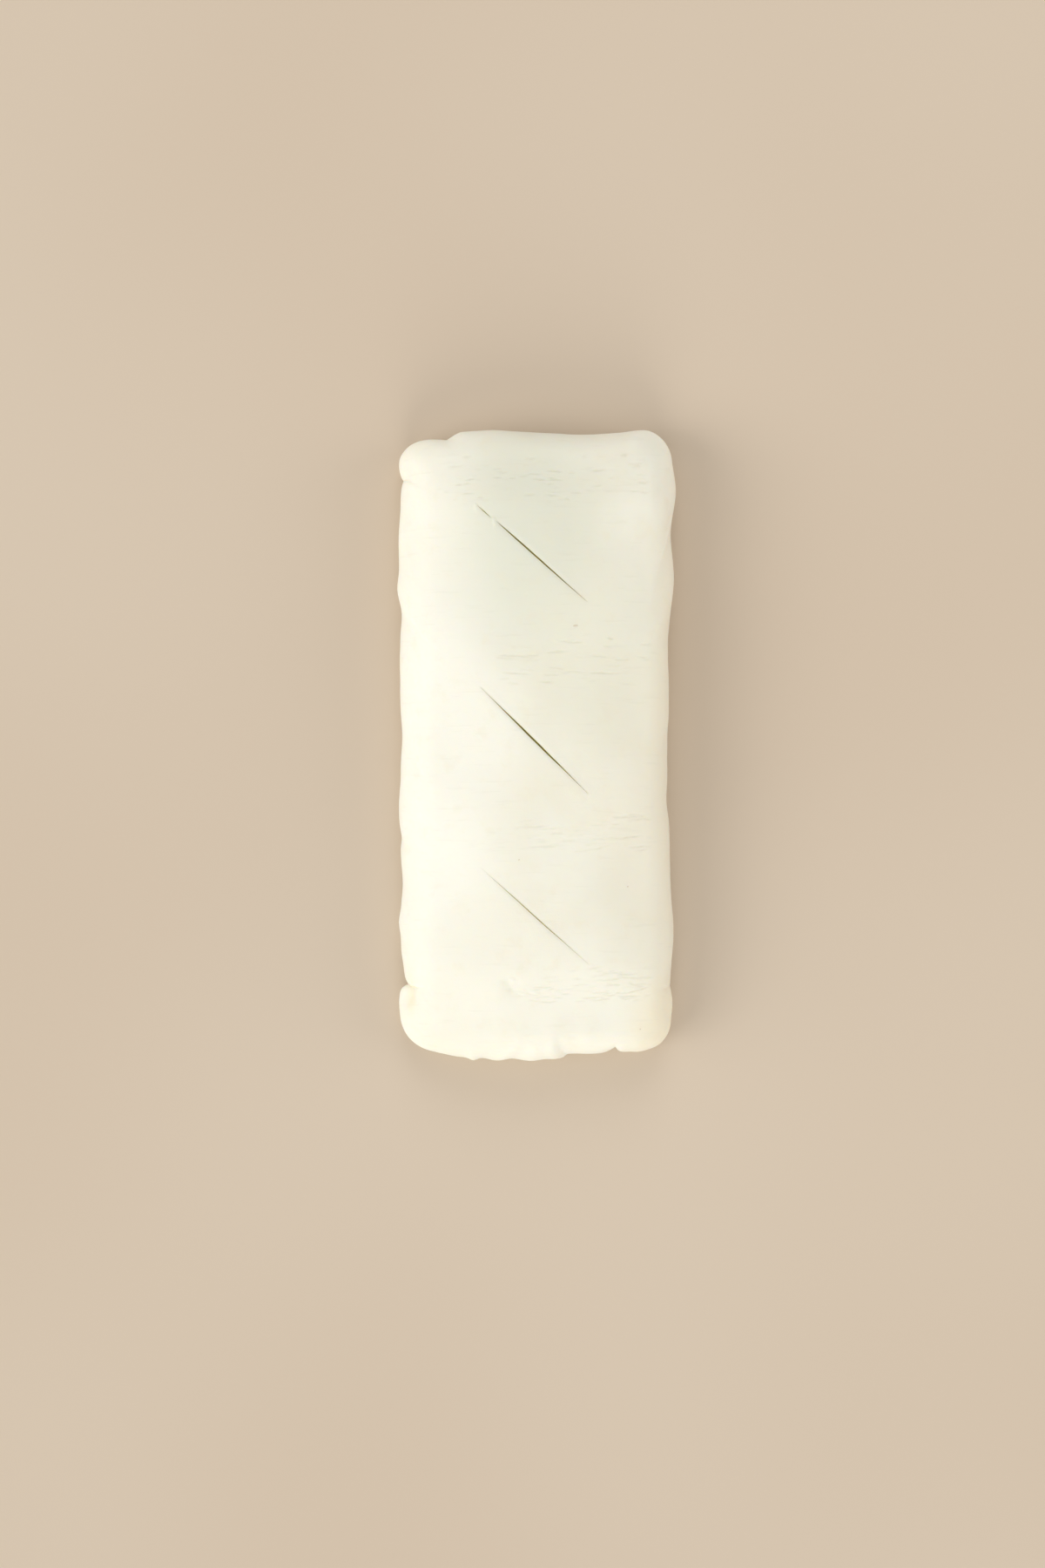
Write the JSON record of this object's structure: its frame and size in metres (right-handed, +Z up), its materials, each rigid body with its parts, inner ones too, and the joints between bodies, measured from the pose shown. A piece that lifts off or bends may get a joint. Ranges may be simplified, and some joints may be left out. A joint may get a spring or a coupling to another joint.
{
  "type": "vegetable strudel",
  "caption": "Unbaked filled pastry roll, long and flat with rounded sides, ends tucked under and slanting slits cut across its top.",
  "frame": {"origin": "centre of the flat underside, on the surface that the parcel rests on", "axes": "+Z up, +Y along the parcel towards the end with the widest bulge, +X across it"},
  "size_m": [0.1046, 0.2367, 0.0304],
  "materials": {
    "raw_pastry": "satin, soft and slightly floury raw dough"
  },
  "bodies": {
    "root": {"pastry_parcel": "raw_pastry"}
  },
  "joints": []
}
